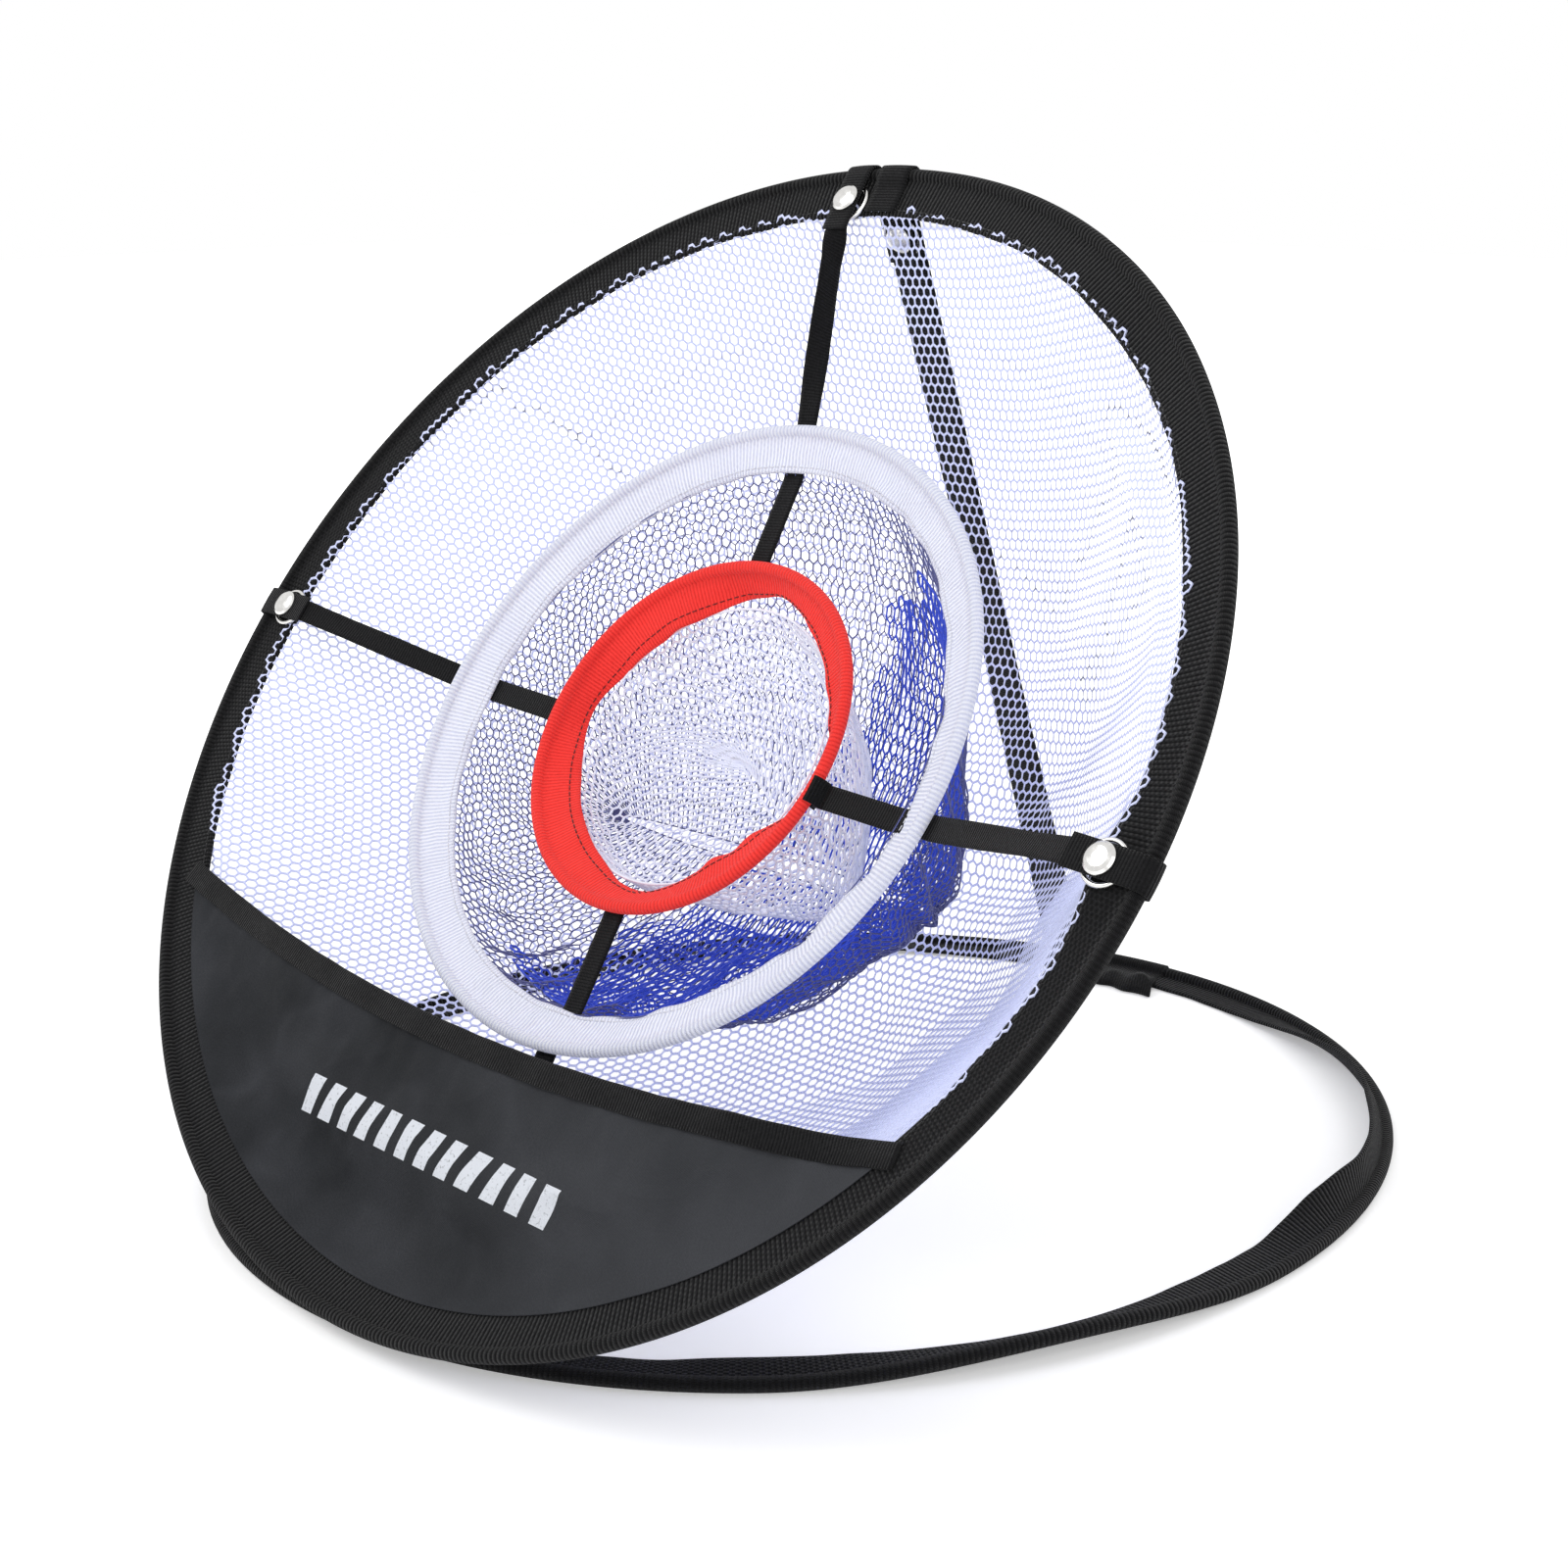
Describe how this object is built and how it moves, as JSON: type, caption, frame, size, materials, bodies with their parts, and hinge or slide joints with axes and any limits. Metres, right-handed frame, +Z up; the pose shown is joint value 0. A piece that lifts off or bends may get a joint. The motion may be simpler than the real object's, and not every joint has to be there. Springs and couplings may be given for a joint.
{
  "type": "golf chipping net",
  "caption": "Pop-up chipping net: a tilted wire hoop with nested net pockets and ring targets on straps, standing on a folding ground loop.",
  "frame": {"origin": "on the ground, midway between the front and the back of the part and under the middle of the front hoop", "axes": "+X to the right as a player faces the net, +Y away from the player towards the back of the ground loop, +Z up"},
  "size_m": [0.5102, 0.526, 0.4121],
  "materials": {
    "spring_wire": "spring steel wire",
    "ferrule_steel": "crimped steel",
    "black_webbing": "ribbed polyester webbing",
    "panel_cloth": "plain woven polyester",
    "white_net": "knitted hexagonal mesh",
    "white_tape": "woven tape over mesh",
    "blue_net": "knitted hexagonal mesh",
    "red_tape": "woven tape",
    "nickel": "nickel plate"
  },
  "bodies": {
    "ground_loop": {"base_wire": "spring_wire", "base_ferrule": "ferrule_steel", "base_casing": "black_webbing", "base_sleeve": "black_webbing", "spine_foot": "black_webbing", "hinge_tape": "black_webbing", "spine_strap": "black_webbing"},
    "front_frame": {"hoop_wire": "spring_wire", "hoop_ferrule": "ferrule_steel", "hoop_casing": "black_webbing", "front_panel": "panel_cloth", "panel_binding": "black_webbing", "outer_net": "white_net", "white_ring_wire": "spring_wire", "white_ring_casing": "white_tape", "blue_net": "blue_net", "red_ring_wire": "spring_wire", "red_ring_casing": "red_tape", "inner_net": "white_net", "strap_top": "black_webbing", "strap_left": "black_webbing", "strap_right": "black_webbing", "strap_bottom": "black_webbing", "tab_top": "black_webbing", "tab_left": "black_webbing", "tab_right": "black_webbing", "spine_loop": "black_webbing", "post_top": "nickel", "post_left": "nickel", "post_right": "nickel", "post_spine": "nickel"},
    "keeper_top_body": {"keeper_top": "nickel"},
    "cap_top_body": {"cap_top": "nickel"},
    "keeper_left_body": {"keeper_left": "nickel"},
    "cap_left_body": {"cap_left": "nickel"},
    "keeper_right_body": {"keeper_right": "nickel"},
    "cap_right_body": {"cap_right": "nickel"},
    "keeper_spine_body": {"keeper_spine": "nickel"},
    "cap_spine_body": {"cap_spine": "nickel"}
  },
  "joints": [
    {"name": "hoop_fold", "type": "hinge", "parent": "ground_loop", "child": "front_frame", "pos_m": [0, -0.25711, 0.0065], "axis": [1, 0, 0], "range_deg": [-38, 0], "stiffness_Nm_per_rad": 0.6, "springref_deg": 68.75, "deforming": ["spine_strap", "hinge_tape"]},
    {"name": "keeper_top_turn", "type": "hinge", "parent": "front_frame", "child": "keeper_top_body", "pos_m": [-0.01975, 0.03557, 0.39475], "axis": [0, -0.7912, 0.6115], "continuous": true},
    {"name": "cap_top_pull", "type": "slide", "parent": "front_frame", "child": "cap_top_body", "axis": [0, -0.7912, 0.6115], "range_m": [0, 0.006]},
    {"name": "keeper_left_turn", "type": "hinge", "parent": "front_frame", "child": "keeper_left_body", "pos_m": [-0.2359, -0.10397, 0.21421], "axis": [0, -0.7912, 0.6115], "continuous": true},
    {"name": "cap_left_pull", "type": "slide", "parent": "front_frame", "child": "cap_left_body", "axis": [0, -0.7912, 0.6115], "range_m": [0, 0.006]},
    {"name": "keeper_right_turn", "type": "hinge", "parent": "front_frame", "child": "keeper_right_body", "pos_m": [0.23581, -0.11404, 0.20118], "axis": [0, -0.7912, 0.6115], "continuous": true},
    {"name": "cap_right_pull", "type": "slide", "parent": "front_frame", "child": "cap_right_body", "axis": [0, -0.7912, 0.6115], "range_m": [0, 0.006]},
    {"name": "keeper_spine_turn", "type": "hinge", "parent": "front_frame", "child": "keeper_spine_body", "pos_m": [-0.00342, 0.04999, 0.38153], "axis": [0.1945, -0.8793, -0.4347], "continuous": true},
    {"name": "cap_spine_pull", "type": "slide", "parent": "front_frame", "child": "cap_spine_body", "axis": [0.1945, -0.8793, -0.4347], "range_m": [0, 0.006]}
  ]
}
